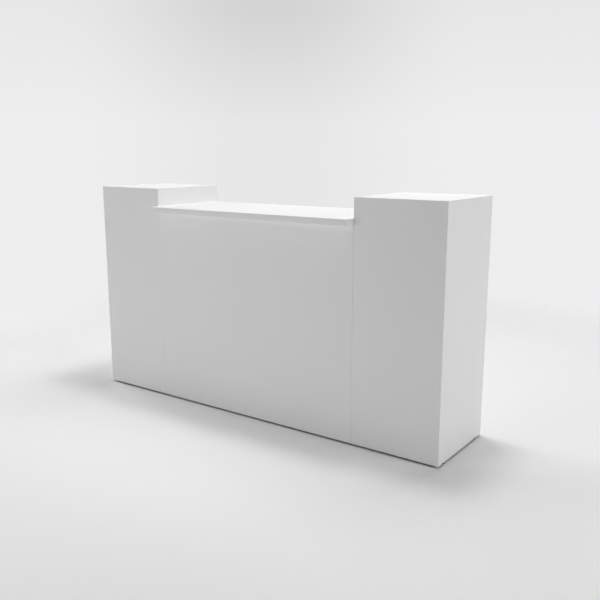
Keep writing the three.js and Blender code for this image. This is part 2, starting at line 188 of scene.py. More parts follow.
def combine(bm, other, operation="DIFFERENCE"):
    """Takes one closed shape out of another, or joins the two into one."""
    pair = []
    for shape in (bm, other):
        mesh = bpy.data.meshes.new("blank")
        shape.to_mesh(mesh)
        shape.free()
        pair.append(bpy.data.objects.new("blank", mesh))
        bpy.context.scene.collection.objects.link(pair[-1])
    blank, tool = pair
    cut = blank.modifiers.new("cut", "BOOLEAN")
    cut.object = tool
    cut.operation = operation
    cut.solver = "EXACT"
    made = bpy.data.meshes.new_from_object(blank.evaluated_get(bpy.context.evaluated_depsgraph_get()))
    result = bmesh.new()
    result.from_mesh(made)
    for item in pair:
        bpy.data.meshes.remove(item.data)
    bpy.data.meshes.remove(made)
    return result


def fit(name, bm, finish, slot, body, *stands_for):
    """Makes a shape a piece of the counter: its finish, the body it moves with, the solids it stands for."""
    bmesh.ops.recalc_face_normals(bm, faces=bm.faces)
    for face in bm.faces:
        face.smooth = True
    for edge in bm.edges:
        edge.smooth = edge.is_manifold and edge.calc_face_angle() < shading_crease
    mesh = bpy.data.meshes.new(name)
    bm.to_mesh(mesh)
    bm.free()
    mesh.materials.append(finish)
    piece = bpy.data.objects.new(name, mesh)
    bpy.context.scene.collection.objects.link(piece)
    # The flat faces shade flat, and the eased edges turn from one to the next
    piece.modifiers.new("even_shading", "WEIGHTED_NORMAL").keep_sharp = True
    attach(piece, body)
    if stands_for:
        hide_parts(*stands_for)
    return piece


def on_side(bm, side):
    """Shapes are laid out for the left tower, and mirrored for the right one."""
    if side == "right":
        bmesh.ops.scale(bm, vec=(-1, 1, 1), verts=bm.verts)
    return bm


outer_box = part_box("left_outer_side_panel")
inner_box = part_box("left_inner_side_panel")
front_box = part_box("left_front_panel")
top_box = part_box("left_top_panel")
shell_low = Vector((outer_box[0].x, front_box[0].y, front_box[0].z))
shell_high = Vector((inner_box[1].x, top_box[1].y, top_box[1].z))
outer_face = shell_low.x + board
inner_face = shell_high.x - board

# The rows of 5 mm holes at 32 mm centres let the staff move a shelf up or down by two steps
pin_radius = 2.5 * mm
pin_inset = 60 * mm
shelf_gap = 0.3 * mm
pin_drop = shelf_gap + pin_radius
hole_pitch = 32 * mm
hole_steps = (-2, -1, 0, 1, 2)
hole_depth = 12 * mm
hole_play = 0.05 * mm
overrun = 1 * mm


def pin_places(shelf):
    """Where the pins under a shelf stand, as depths and heights."""
    low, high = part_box(shelf)
    return [(y, low.z - pin_drop) for y in (low.y + pin_inset, high.y - pin_inset)]


def add_pin_holes(bm, shelves, face, into):
    """Adds the drill's path for the rows of holes that start in a board's face."""
    for shelf in shelves:
        for y, z in pin_places(shelf):
            for step in hole_steps:
                mouth = Vector((face, y, z + step * hole_pitch))
                add_rod(bm, mouth - into * overrun, mouth + into * hole_depth, pin_radius + hole_play)


# Each foot's stem goes up into a hole in the board's lower edge
stem_radius = 4 * mm
stem_play = 0.3 * mm
stem_clear = 0.5 * mm


def add_foot_holes(bm, feet):
    """Adds the drill's path for the stems of a board's two feet."""
    for foot in feet:
        low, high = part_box(foot)
        middle = (low + high) / 2
        mouth = Vector((middle.x, middle.y, shell_low.z - overrun))
        end = Vector((middle.x, middle.y, high.z + stem_clear))
        add_rod(bm, mouth, end, stem_radius + stem_play)


# Each hinge leaf is let into its board so far that 0.6 mm is left between the two when the door is shut
leaf_corner = 4 * mm
corner_steps = 6
leaf_play = 0.3 * mm
leaf_sink = 1.1 * mm


def add_leaf_recess(bm, leaf, face, into):
    """Adds the router's path for a hinge leaf, open at the board's back edge, with round corners."""
    low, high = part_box(leaf)
    back = shell_high.y
    span = sorted((face - into.x * overrun, face + into.x * leaf_sink))
    block = box_shape(Vector((span[0], low.y - leaf_play, low.z - leaf_play)),
                      Vector((span[1], back + overrun, high.z + leaf_play)))
    corners = [edge for edge in block.edges
               if all(vert.co.y < back for vert in edge.verts)
               and abs(edge.verts[0].co.x - edge.verts[1].co.x) > leaf_sink / 2]
    ease(block, corners, leaf_corner, corner_steps)
    mesh = bpy.data.meshes.new("path")
    block.to_mesh(mesh)
    block.free()
    bm.from_mesh(mesh)
    bpy.data.meshes.remove(mesh)


# The lock's cam turns up into a slot, which starts where the cam's tip first passes the board's face
cam_low, cam_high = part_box("left_lock_cam")
lock_low, lock_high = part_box("left_lock_plug")
lock_axis = (lock_low + lock_high) / 2
cam_reach = lock_axis.z - cam_low.z
slot_play = 1 * mm
slot_low = Vector((
    inner_face - overrun,
    cam_low.y - slot_play,
    lock_axis.z - math.sqrt(cam_reach ** 2 - (inner_face - lock_axis.x) ** 2) - slot_play,
))
slot_high = Vector((lock_axis.x + cam_reach + slot_play, cam_high.y + slot_play, cam_high.z + slot_play))

tower_shelves = ("left_lower_shelf", "left_upper_shelf")
for side in sides:
    outer_cuts = bmesh.new()
    add_foot_holes(outer_cuts, ("left_foot_outer_front", "left_foot_outer_rear"))
    add_pin_holes(outer_cuts, tower_shelves, outer_face, -X)
    for level in ("lower", "upper"):
        add_leaf_recess(outer_cuts, f"left_{level}_hinge_frame_leaf", outer_face, -X)
    inner_cuts = bmesh.new()
    add_foot_holes(inner_cuts, ("left_foot_inner_front", "left_foot_inner_rear"))
    add_pin_holes(inner_cuts, tower_shelves, inner_face, X)
    add_box(inner_cuts, slot_low, slot_high)
    outer = combine(shell_board(shell_low, shell_high, -X, (-Y, Z)), outer_cuts)
    inner = combine(shell_board(shell_low, shell_high, X, (-Y, Z)), inner_cuts)
    front = shell_board(shell_low, shell_high, -Y, (-X, X, Z))
    top = shell_board(shell_low, shell_high, Z, (-X, X, -Y))
    for name, shape in (("front", front), ("outer_side", outer), ("inner_side", inner), ("top", top)):
        fit(f"{side}_{name}_board", on_side(shape, side), white_lacquer, "white_lacquer", "carcass",
            f"{side}_{name}_panel")


# Middle front and countertop. The front is one 18 mm board from tower to tower, with eased edges that leave a
# hairline seam. The countertop is a 28 mm board, screwed on from below, that stands proud of the front.
countertop_ease = 1.2 * mm
seam_ease = 0.5 * mm
for name, node, width in (("middle_front_board", "middle_front_panel", seam_ease),
                          ("countertop_board", "countertop", countertop_ease)):
    shape = box_shape(*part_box(node))
    ease(shape, shape.edges[:], width)
    fit(name, shape, white_lacquer, "white_lacquer", "carcass", node)


# Inner boards. Chipboard faced with white melamine, sawn square and doweled. The edges that face the staff
# carry a glued band of white ABS, 1 mm thick, whose corners are scraped round. The middle module's side
# boards and divider are drilled for shelf pins, and its side boards for their feet.
band = 1 * mm
glue_line = 0.03 * mm
band_ease = 0.8 * mm
saw_ease = 0.2 * mm

# Melamine facing is printed white paper under a pressed resin skin. The eye sees a flat, slightly warm white
# with a fine pearl texture that breaks up its highlights. The grain is drawn about twice its real size.
pearl_grain = 1.2 * mm
pearl_height = 0.03 * mm
paper_shade = 90 * mm
white_melamine, tree, place, surface = new_material("pearl_white_melamine")
grain = add_node(tree, "ShaderNodeTexNoise", {"Vector": place, "Scale": 1 / pearl_grain, "Detail": 3})
shade = add_node(tree, "ShaderNodeTexNoise", {"Vector": place, "Scale": 1 / paper_shade, "Detail": 3})
tint = add_node(tree, "ShaderNodeMix", {
    "Factor": shade.outputs["Fac"],
    "A": linear("#eeeeec"),
    "B": linear("#f2f2f0"),
}, data_type="RGBA")
gloss = add_node(tree, "ShaderNodeMapRange", {
    "Value": grain.outputs["Fac"],
    "From Min": 0.3,
    "From Max": 0.7,
    "To Min": 0.42,
    "To Max": 0.62,
})
skin = add_node(tree, "ShaderNodeBump", {"Height": grain.outputs["Fac"], "Distance": pearl_height})
surface.inputs["IOR"].default_value = 1.55
tree.links.new(tint.outputs["Result"], surface.inputs["Base Color"])
tree.links.new(gloss.outputs["Result"], surface.inputs["Roughness"])
tree.links.new(skin.outputs["Normal"], surface.inputs["Normal"])

# Extruded ABS is one plain white all through, a little cooler and glossier than the melamine beside it, and
# the scraper leaves fine lines along its corners
scraper_line = 0.7 * mm
white_abs, tree, place, surface = new_material("white_abs_edge_band")
lines = add_node(tree, "ShaderNodeTexNoise", {"Vector": place, "Scale": 1 / scraper_line, "Detail": 1})
gloss = add_node(tree, "ShaderNodeMapRange", {"Value": lines.outputs["Fac"], "To Min": 0.3, "To Max": 0.42})
tint = add_node(tree, "ShaderNodeMix", {
    "Factor": lines.outputs["Fac"],
    "A": linear("#eff0f0"),
    "B": linear("#f2f3f3"),
}, data_type="RGBA")
surface.inputs["IOR"].default_value = 1.53
tree.links.new(tint.outputs["Result"], surface.inputs["Base Color"])
tree.links.new(gloss.outputs["Result"], surface.inputs["Roughness"])


def fit_banded(name, low, high, node, cuts=None):
    """A melamine board with a band along its rear edge, both in place of one solid."""
    core = box_shape(low, Vector((high.x, high.y - band, high.z)))
    ease(core, core.edges[:], saw_ease, segments=2)
    if cuts:
        core = combine(core, cuts)
    strip = box_shape(Vector((low.x, high.y - band + glue_line, low.z)), high)
    rear = [edge for edge in strip.edges if all(vert.co.y > high.y - band / 2 for vert in edge.verts)]
    ease(strip, rear, band_ease)
    fit(name, core, white_melamine, "white_melamine", "carcass", node)
    fit(f"{name}_band", strip, white_abs, "white_melamine", "carcass")


middle_shelves = ("middle_left_shelf",)
side_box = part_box("middle_left_side_panel")
bay_face = side_box[0].x + board
for side, sign in (("left", 1), ("right", -1)):
    cuts = bmesh.new()
    add_foot_holes(cuts, ("middle_foot_left_front", "middle_foot_left_rear"))
    add_pin_holes(cuts, middle_shelves, bay_face, -X)
    cuts = on_side(cuts, side)
    bmesh.ops.recalc_face_normals(cuts, faces=cuts.faces)
    span = sorted((sign * side_box[0].x, sign * bay_face))
    fit_banded(f"middle_{side}_side_board", Vector((span[0], side_box[0].y, side_box[0].z)),
               Vector((span[1], side_box[1].y, side_box[1].z)), f"middle_{side}_side_panel", cuts)
divider_low, divider_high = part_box("middle_divider")
cuts = bmesh.new()
for y, z in pin_places(middle_shelves[0]):
    for step in hole_steps:
        mouth = Vector((0, y, z + step * hole_pitch))
        add_rod(cuts, mouth - X * board, mouth + X * board, pin_radius + hole_play)
fit_banded("middle_divider_board", Vector((-board / 2, divider_low.y, divider_low.z)),
           Vector((board / 2, divider_high.y, divider_high.z)), "middle_divider", cuts)
for name in ("middle_top", "middle_bottom", "left_bottom", "right_bottom"):
    fit_banded(f"{name}_board", *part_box(f"{name}_panel"), f"{name}_panel")


# Kick boards. MDF strips, sprayed with the fronts, screwed under the bottom panels and set back from the
# staff side to leave room for toes.
for name in ("left", "middle", "right"):
    shape = box_shape(*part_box(f"{name}_kick_board"))
    ease(shape, shape.edges[:], arris_ease)
    fit(f"{name}_kick_strip", shape, white_lacquer, "white_lacquer", "carcass", f"{name}_kick_board")


# Shelves and their pins. The shelves are melamine-faced too, and lift out. Each lies on four turned steel
# pins, 5 mm thick and nickel-plated, that push into the drilled rows.
pin_reach = 9 * mm
pin_depth = 8 * mm
pin_round = 0.8 * mm
turned_sides = 32

# Nickel plate over steel or die-cast zinc, brushed satin. The eye sees a warm grey metal with a soft,
# slightly streaked sheen. The brush lines are drawn several times their real width.
brush_width = 0.5 * mm
brush_length = 12 * mm
satin_nickel, tree, place, surface = new_material("satin_nickel_plate")
stretch = add_node(tree, "ShaderNodeMapping", {
    "Vector": place,
    "Scale": (1 / brush_width, 1 / brush_width, 1 / brush_length),
})
streaks = add_node(tree, "ShaderNodeTexNoise", {"Vector": stretch.outputs["Vector"], "Scale": 1, "Detail": 2})
tint = add_node(tree, "ShaderNodeMix", {
    "Factor": streaks.outputs["Fac"],
    "A": linear("#bfbcb6"),
    "B": linear("#cfccc6"),
}, data_type="RGBA")
gloss = add_node(tree, "ShaderNodeMapRange", {"Value": streaks.outputs["Fac"], "To Min": 0.24, "To Max": 0.4})
surface.inputs["Metallic"].default_value = 1
tree.links.new(tint.outputs["Result"], surface.inputs["Base Color"])
tree.links.new(gloss.outputs["Result"], surface.inputs["Roughness"])


def spun(profile, steps=turned_sides):
    """A turned shape round Z, from its half-section as radii and heights, closed on the axis or as a ring."""
    bm = bmesh.new()
    points = [bm.verts.new((radius, 0, height)) for radius, height in profile]
    lines = [bm.edges.new(ends) for ends in zip(points, points[1:])]
    if profile[0][0] > 0:
        lines.append(bm.edges.new((points[-1], points[0])))
    bmesh.ops.spin(bm, geom=points + lines, cent=(0, 0, 0), axis=Z, angle=2 * math.pi, steps=steps,
                   use_merge=True)
    bmesh.ops.remove_doubles(bm, verts=bm.verts, dist=same_point)
    bmesh.ops.dissolve_degenerate(bm, edges=bm.edges, dist=same_point)
    bmesh.ops.recalc_face_normals(bm, faces=bm.faces)
    return bm


def rounded_end(radius, height, ease_radius, steps=3):
    """The upper end of a half-section, rounded over, from the outside to the axis."""
    turns = [math.pi / 2 * step / steps for step in range(steps + 1)]
    arc = [(radius - ease_radius * (1 - math.cos(turn)), height - ease_radius * (1 - math.sin(turn)))
           for turn in turns]
    return [*arc, (0, height)]


def both_ends(half):
    """A whole section, from its upper half, with the same end below."""
    return [(radius, -height) for radius, height in reversed(half)] + half


def copies(shape, places):
    """The same shape set at several places, as one mesh."""
    pattern = bpy.data.meshes.new("pattern")
    shape.to_mesh(pattern)
    shape.free()
    bm = bmesh.new()
    for matrix in places:
        first = len(bm.verts)
        bm.from_mesh(pattern)
        bmesh.ops.transform(bm, matrix=matrix, verts=bm.verts[first:])
    bpy.data.meshes.remove(pattern)
    return bm


def aimed(place, direction):
    """The place of a shape whose Z is turned to a direction."""
    return Matrix.Translation(place) @ direction.to_track_quat("Z", "Y").to_matrix().to_4x4()


def shelf_pin(length):
    """A pin with both ends rounded over."""
    return spun(both_ends(rounded_end(pin_radius, length / 2, pin_round)))


def fit_pins(name, shelves, face, out, side):
    """The pins in one board, as far inside it as they need to hold."""
    middle = (pin_reach - pin_depth) / 2
    places = [aimed(Vector((face, y, z)) + out * middle, out)
              for shelf in shelves for y, z in pin_places(shelf)]
    shape = on_side(copies(shelf_pin(pin_reach + pin_depth), places), side)
    fit(name, shape, satin_nickel, "satin_nickel", "carcass")


for side in sides:
    for level in ("lower", "upper"):
        fit_banded(f"{side}_{level}_shelf_board", *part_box(f"{side}_{level}_shelf"), f"{side}_{level}_shelf")
    fit_banded(f"middle_{side}_shelf_board", *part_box(f"middle_{side}_shelf"), f"middle_{side}_shelf")
    fit_pins(f"{side}_outer_shelf_pins", tower_shelves, outer_face, X, side)
    fit_pins(f"{side}_inner_shelf_pins", tower_shelves, inner_face, -X, side)
    fit_pins(f"middle_{side}_shelf_pins", middle_shelves, bay_face, X, side)
through_places = [aimed(Vector((0, y, z)), X) for y, z in pin_places(middle_shelves[0])]
through_pins = copies(shelf_pin(board + 2 * pin_reach), through_places)
fit("middle_divider_shelf_pins", through_pins, satin_nickel, "satin_nickel", "carcass")


# Doors. 18 mm MDF, sprayed on both faces, set in between the side boards with a 2 mm gap all round. Each is
# routed for its two door leaves and bored for its lock.
door_ease = 0.8 * mm
lock_bore = 9.8 * mm
door_low, door_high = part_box("left_door")
for side in sides:
    cuts = bmesh.new()
    for level in ("lower", "upper"):
        add_leaf_recess(cuts, f"left_{level}_hinge_door_leaf", door_low.x, X)
    bore_start = Vector((lock_axis.x, door_low.y - overrun, lock_axis.z))
    bore_end = Vector((lock_axis.x, door_high.y + overrun, lock_axis.z))
    add_rod(cuts, bore_start, bore_end, lock_bore, turned_sides)
    shape = box_shape(door_low, door_high)
    ease(shape, shape.edges[:], door_ease)
    shape = combine(shape, cuts)
    fit(f"{side}_door_board", on_side(shape, side), white_lacquer, "white_lacquer", f"{side}_door_leaf",
        f"{side}_door")


# Butt hinges. Each is two leaves of 1.5 mm steel, stamped, rolled round a 4.2 mm pin and zinc-plated. The
# frame leaf has three knuckles and the door leaf the two between. Three countersunk screws hold each leaf.
leaf_thickness = 1.5 * mm
leaf_half_gap = 0.3 * mm
leaf_round = 3.7 * mm
knuckle_count = 5
knuckle_radius = 4 * mm
knuckle_gap = 0.3 * mm
knuckle_ease = 0.3 * mm
pin_bore = 2.25 * mm
hinge_pin_radius = 2.1 * mm
pin_cap_radius = 3 * mm
pin_cap_height = 1.5 * mm
pin_cap_round = 0.9 * mm
pin_cap_play = 0.3 * mm
leaf_screw_shares = (-1 / 3, 0, 1 / 3)
screw_head_radius = 3.3 * mm
screw_head_rim = 0.25 * mm
screw_head_depth = 1.7 * mm
screw_shank_radius = 1.6 * mm
screw_length = 14 * mm
screw_sides = 24
cross_span = 3.4 * mm
cross_width = 0.9 * mm
cross_depth = 1.2 * mm

# Bright zinc plating, blue-passivated. The eye sees a cool, fairly shiny grey metal, faintly mottled where
# the passivation is thinner or thicker.
passivation_patch = 7 * mm
zinc_grain = 0.8 * mm
bright_zinc, tree, place, surface = new_material("bright_zinc_plate")
mottle = add_node(tree, "ShaderNodeTexNoise", {"Vector": place, "Scale": 1 / passivation_patch, "Detail": 3})
tint = add_node(tree, "ShaderNodeMix", {
    "Factor": mottle.outputs["Fac"],
    "A": linear("#b4b9bf"),
    "B": linear("#c4c6c4"),
}, data_type="RGBA")
fine = add_node(tree, "ShaderNodeTexNoise", {"Vector": place, "Scale": 1 / zinc_grain, "Detail": 2})
gloss = add_node(tree, "ShaderNodeMapRange", {"Value": fine.outputs["Fac"], "To Min": 0.22, "To Max": 0.38})
surface.inputs["Metallic"].default_value = 1
tree.links.new(tint.outputs["Result"], surface.inputs["Base Color"])
tree.links.new(gloss.outputs["Result"], surface.inputs["Roughness"])

# The hinge is laid out round its pin, as it lies when the door is shut
leaf_low, leaf_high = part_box("left_lower_hinge_frame_leaf")
hinge_middles = {}
for level in ("lower", "upper"):
    low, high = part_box(f"left_{level}_hinge_pin")
    hinge_middles[level] = (low + high) / 2
hinge_half = (leaf_high.z - leaf_low.z) / 2
leaf_reach = hinge_middles["lower"].y - leaf_low.y
knuckle_slice = 2 * hinge_half / knuckle_count
knuckle_levels = [(k + 1 / 2) * knuckle_slice - hinge_half for k in range(knuckle_count)]
plate_reach = leaf_reach - knuckle_radius
leaf_screw_depth = -knuckle_radius - plate_reach / 2


def crossed(shape, top):
    """A screw with a driver's cross sunk into the top of its head."""
    for half_x, half_y in ((cross_span / 2, cross_width / 2), (cross_width / 2, cross_span / 2)):
        slot = box_shape(Vector((-half_x, -half_y, top - cross_depth)),
                         Vector((half_x, half_y, top + cross_depth)))
        shape = combine(shape, slot)
    return shape


def countersunk_screw(length):
    """A wood screw with a flat head: head at the origin, shank down Z."""
    shape = spun([
        (0, -length - screw_shank_radius), (screw_shank_radius, -length),
        (screw_shank_radius, -screw_head_depth), (screw_head_radius, -screw_head_rim),
        (screw_head_radius, 0), (0, 0),
    ], screw_sides)
    return crossed(shape, 0)


def hinge_leaf(to_door, own, others):
    """A leaf about its pin: a plate with two round corners, its knuckles, and room for the other leaf's."""
    xs = sorted((to_door * leaf_half_gap, to_door * (leaf_half_gap + leaf_thickness)))
    shape = box_shape(Vector((xs[0], -leaf_reach, -hinge_half)), Vector((xs[1], -pin_bore, hinge_half)))
    corners = [edge for edge in shape.edges if all(vert.co.y < -plate_reach for vert in edge.verts)
               and abs(edge.verts[0].co.x - edge.verts[1].co.x) > leaf_thickness / 2]
    ease(shape, corners, leaf_round, corner_steps)
    knuckle = spun(both_ends(rounded_end(knuckle_radius, (knuckle_slice - knuckle_gap) / 2, knuckle_ease)))
    rolled = copies(knuckle, [Matrix.Translation(Z * knuckle_levels[k]) for k in own])
    shape = combine(shape, rolled, "UNION")
    cuts = bmesh.new()
    room = Z * (knuckle_slice + knuckle_gap) / 2
    for k in others:
        level = Z * knuckle_levels[k]
        add_rod(cuts, level - room, level + room, knuckle_radius + knuckle_gap, turned_sides)
    for share in leaf_screw_shares:
        mouth = Vector((to_door * leaf_half_gap, leaf_screw_depth, 2 * share * hinge_half))
        sink = X * to_door * screw_head_depth
        turn = aimed(mouth + sink / 2, -sink)
        bmesh.ops.create_cone(cuts, cap_ends=True, segments=screw_sides, radius1=screw_shank_radius,
                              radius2=screw_head_radius, depth=screw_head_depth + screw_head_rim,
                              matrix=turn)
    shape = combine(shape, cuts)
    bore = bmesh.new()
    add_rod(bore, -2 * Z * hinge_half, 2 * Z * hinge_half, pin_bore)
    return combine(shape, bore)


leaf_shapes = {
    "frame_leaf": hinge_leaf(-1, (0, 2, 4), (1, 3)),
    "door_leaf": hinge_leaf(1, (1, 3), (0, 2, 4)),
}
cap_start = hinge_half + pin_cap_play
cap_end = rounded_end(pin_cap_radius, cap_start + pin_cap_height, pin_cap_round)
hinge_pin = spun(both_ends([(hinge_pin_radius, cap_start), (pin_cap_radius, cap_start), *cap_end]))
leaf_screw = countersunk_screw(screw_length)
for side in sides:
    for level, middle in hinge_middles.items():
        there = Matrix.Translation(middle)
        for leaf, to_door, body in (("frame_leaf", -1, "carcass"), ("door_leaf", 1, f"{side}_door_leaf")):
            shape = on_side(copies(leaf_shapes[leaf].copy(), [there]), side)
            name = f"{side}_{level}_hinge_{leaf}"
            fit(f"{name}_plate", shape, bright_zinc, "zinc_steel", body, name)
            mouths = [middle + Vector((to_door * leaf_half_gap, leaf_screw_depth, 2 * share * hinge_half))
                      for share in leaf_screw_shares]
            places = [aimed(mouth, -X * to_door) for mouth in mouths]
            screws = on_side(copies(leaf_screw.copy(), places), side)
            fit(f"{name}_screws", screws, bright_zinc, "zinc_steel", body)
        shape = on_side(copies(hinge_pin.copy(), [there]), side)
        fit(f"{side}_{level}_hinge_turned_pin", shape, bright_zinc, "zinc_steel", "carcass",
            f"{side}_{level}_hinge_pin")


# Cam locks. A die-cast body of 19 mm, nickel-plated, goes through the door from its rose and is held by a
# hexagon nut behind. The key turns the plug, and the plug turns a stamped steel cam, held by a screw.
rose_radius = 12 * mm
rose_thickness = 2 * mm
rose_lift = 0.3 * mm
rose_round = 0.9 * mm
body_radius = 9.5 * mm
plug_radius = 6 * mm
plug_gap = 0.15 * mm
plug_sink = 0.2 * mm
plug_ease = 0.3 * mm
keyway_width = 1.6 * mm
keyway_height = 8 * mm
keyway_depth = 4 * mm
nut_radius = 13.4 * mm
nut_thickness = 3.5 * mm
nut_ease = 0.4 * mm
cam_ease = 0.2 * mm
cam_end_flat = 0.01 * mm
cam_end_steps = 10
cam_screw_radius = 4.5 * mm
cam_screw_height = 2.6 * mm
cam_screw_round = 1.2 * mm
cam_screw_sink = 1 * mm
lock_sides = 48
housing_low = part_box("left_lock_housing")[0]
lock_face = Vector((lock_axis.x, door_high.y, lock_axis.z))
rose_top = rose_lift + rose_thickness
body_end = housing_low.y - door_high.y
bored = plug_radius + plug_gap
rose_rim = rounded_end(rose_radius, rose_top, rose_round, steps=4)[:-1]
housing = spun([
    (bored, body_end), (body_radius, body_end), (body_radius, rose_lift), (rose_radius, rose_lift),
    *rose_rim, (bored + plug_ease, rose_top), (bored, rose_top - plug_ease),
], lock_sides)
plug_top = rose_top - plug_sink
plug = spun([
    (0, body_end), (plug_radius, body_end), (plug_radius, plug_top - plug_ease),
    (plug_radius - plug_ease, plug_top), (0, plug_top),
], lock_sides)
keyway = box_shape(Vector((-keyway_width / 2, -keyway_height / 2, plug_top - keyway_depth)),
                   Vector((keyway_width / 2, keyway_height / 2, rose_top)))
plug = combine(plug, keyway)
outward = Matrix.Translation(lock_face) @ Matrix.Rotation(-math.pi / 2, 4, "X")
cam = box_shape(cam_low, cam_high)
cam_size = cam_high - cam_low
cam_ends = [edge for edge in cam.edges
            if abs(edge.verts[0].co.y - edge.verts[1].co.y) > cam_size.y / 2]
ease(cam, cam_ends, cam_size.x / 2 - cam_end_flat, cam_end_steps)
cam.normal_update()
ease(cam, [edge for edge in cam.edges if edge.calc_face_angle() > square], cam_ease, segments=1)
screw_rim = rounded_end(cam_screw_radius, cam_screw_height, cam_screw_round)
cam_screw = spun([(0, -cam_screw_sink), (cam_screw_radius, -cam_screw_sink), *screw_rim])
cam_screw = crossed(cam_screw, cam_screw_height)
nut = bmesh.new()
bmesh.ops.create_cone(nut, cap_ends=True, segments=6, radius1=nut_radius, radius2=nut_radius,
                      depth=nut_thickness)
ease(nut, nut.edges[:], nut_ease, segments=2)
nut_bore = bmesh.new()
add_rod(nut_bore, -Z * nut_thickness, Z * nut_thickness, body_radius, lock_sides)
nut = combine(nut, nut_bore)
for side in sides:
    leaf_body, lock_body = f"{side}_door_leaf", f"{side}_lock"
    shape = on_side(copies(housing.copy(), [outward]), side)
    fit(f"{side}_lock_rose_and_body", shape, satin_nickel, "satin_nickel", leaf_body, f"{side}_lock_housing")
    shape = on_side(copies(plug.copy(), [outward]), side)
    fit(f"{side}_lock_key_plug", shape, satin_nickel, "satin_nickel", lock_body, f"{side}_lock_plug")
    fit(f"{side}_lock_cam_strip", on_side(cam.copy(), side), bright_zinc, "zinc_steel", lock_body,
        f"{side}_lock_cam")
    there = aimed(Vector((lock_axis.x, cam_low.y, lock_axis.z)), -Y)
    fit(f"{side}_lock_cam_screw", on_side(copies(cam_screw.copy(), [there]), side), bright_zinc, "zinc_steel",
        lock_body)
    there = aimed(Vector((lock_axis.x, door_low.y - nut_thickness / 2, lock_axis.z)), Y)
    fit(f"{side}_lock_nut", on_side(copies(nut.copy(), [there]), side), bright_zinc, "zinc_steel", leaf_body)


# Door handles. A bow of flat steel bar, 12 by 8 mm, bent at its two corners, nickel-plated and brushed. Two
# pan-headed screws come through the door from behind.
handle_thickness = 8 * mm
handle_bend = 6 * mm
handle_ease = 1 * mm
bend_steps = 8
pan_radius = 4.2 * mm
pan_height = 2.6 * mm
pan_round = 1.6 * mm
washer_radius = 5.5 * mm
washer_thickness = 0.8 * mm
handle_low, handle_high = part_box("left_door_handle")
handle_middle = (handle_low + handle_high) / 2
bow = bmesh.new()
foot_corners = [bow.verts.new((x, handle_low.y, z)) for x, z in (
    (handle_low.x, handle_low.z), (handle_high.x, handle_low.z),
    (handle_high.x, handle_low.z + handle_thickness), (handle_low.x, handle_low.z + handle_thickness))]
end_face = bow.faces.new(foot_corners)
leg = handle_high.y - handle_low.y - handle_thickness - handle_bend


def grow(face, moved):
    """Draws the bar on in a straight line from its end."""
    made = bmesh.ops.extrude_face_region(bow, geom=[face])
    ends = [item for item in made["geom"] if isinstance(item, bmesh.types.BMVert)]
    bmesh.ops.translate(bow, vec=moved, verts=ends)
    bmesh.ops.delete(bow, geom=[face], context="FACES_ONLY")
    return next(item for item in made["geom"] if isinstance(item, bmesh.types.BMFace))


def bend(face, centre):
    """Bends the bar on round a quarter turn."""
    made = bmesh.ops.spin(bow, geom=[face], cent=centre, axis=X, angle=math.pi / 2, steps=bend_steps)
    bmesh.ops.delete(bow, geom=[face], context="FACES_ONLY")
    return next(item for item in made["geom_last"] if isinstance(item, bmesh.types.BMFace))


# The end that the bar starts from is closed by a face of its own, welded to the sides once all is bent
bow.faces.new([bow.verts.new(vert.co) for vert in foot_corners])
end_face = grow(end_face, Y * leg)
corner_y = handle_low.y + leg
end_face = bend(end_face, Vector((0, corner_y, handle_low.z + handle_thickness + handle_bend)))
end_face = grow(end_face, Z * (handle_high.z - handle_low.z - 2 * (handle_thickness + handle_bend)))
end_face = bend(end_face, Vector((0, corner_y, handle_high.z - handle_thickness - handle_bend)))
end_face = grow(end_face, -Y * leg)
bmesh.ops.remove_doubles(bow, verts=bow.verts, dist=same_point)
bmesh.ops.recalc_face_normals(bow, faces=bow.faces)
bow.normal_update()
ease(bow, [edge for edge in bow.edges if edge.calc_face_angle() > square], handle_ease)
pan_end = rounded_end(pan_radius, pan_height, pan_round)
pan_screw = spun([
    (0, 0), (washer_radius, 0), (washer_radius, washer_thickness), (pan_radius, washer_thickness), *pan_end,
])
pan_screw = crossed(pan_screw, pan_height)
for side in sides:
    fit(f"{side}_bow_handle", on_side(bow.copy(), side), satin_nickel, "satin_nickel", f"{side}_door_leaf",
        f"{side}_door_handle")
    heights = (handle_low.z + handle_thickness / 2, handle_high.z - handle_thickness / 2)
    places = [aimed(Vector((handle_middle.x, door_low.y, z)), -Y) for z in heights]
    fit(f"{side}_handle_screws", on_side(copies(pan_screw.copy(), places), side), bright_zinc, "zinc_steel",
        f"{side}_door_leaf")


# Levelling feet. A moulded black nylon pad with a hexagon for the spanner, on an M8 zinc-plated stem that
# screws up into the lower edge of a side board. They hold the counter 8 mm clear of the floor.
pad_radius = 8 * mm
pad_flange = 3.5 * mm
pad_round = 0.8 * mm
hexagon_radius = 7.5 * mm
hexagon_ease = 0.4 * mm
pad_top_gap = 0.3 * mm
thread_pitch = 1.25 * mm
thread_depth = 0.65 * mm
foot_sides = 32

# Moulded nylon 6 is dyed black all through. The eye sees a soft, dull black with a faint spark-eroded grain.
nylon_grain = 0.5 * mm
nylon_height = 0.03 * mm
black_nylon, tree, place, surface = new_material("moulded_black_nylon")
grain = add_node(tree, "ShaderNodeTexNoise", {"Vector": place, "Scale": 1 / nylon_grain, "Detail": 2})
tint = add_node(tree, "ShaderNodeMix", {
    "Factor": grain.outputs["Fac"],
    "A": linear("#1b1b1c"),
    "B": linear("#262627"),
}, data_type="RGBA")
gloss = add_node(tree, "ShaderNodeMapRange", {"Value": grain.outputs["Fac"], "To Min": 0.48, "To Max": 0.66})
skin = add_node(tree, "ShaderNodeBump", {"Height": grain.outputs["Fac"], "Distance": nylon_height})
surface.inputs["IOR"].default_value = 1.53
tree.links.new(tint.outputs["Result"], surface.inputs["Base Color"])
tree.links.new(gloss.outputs["Result"], surface.inputs["Roughness"])
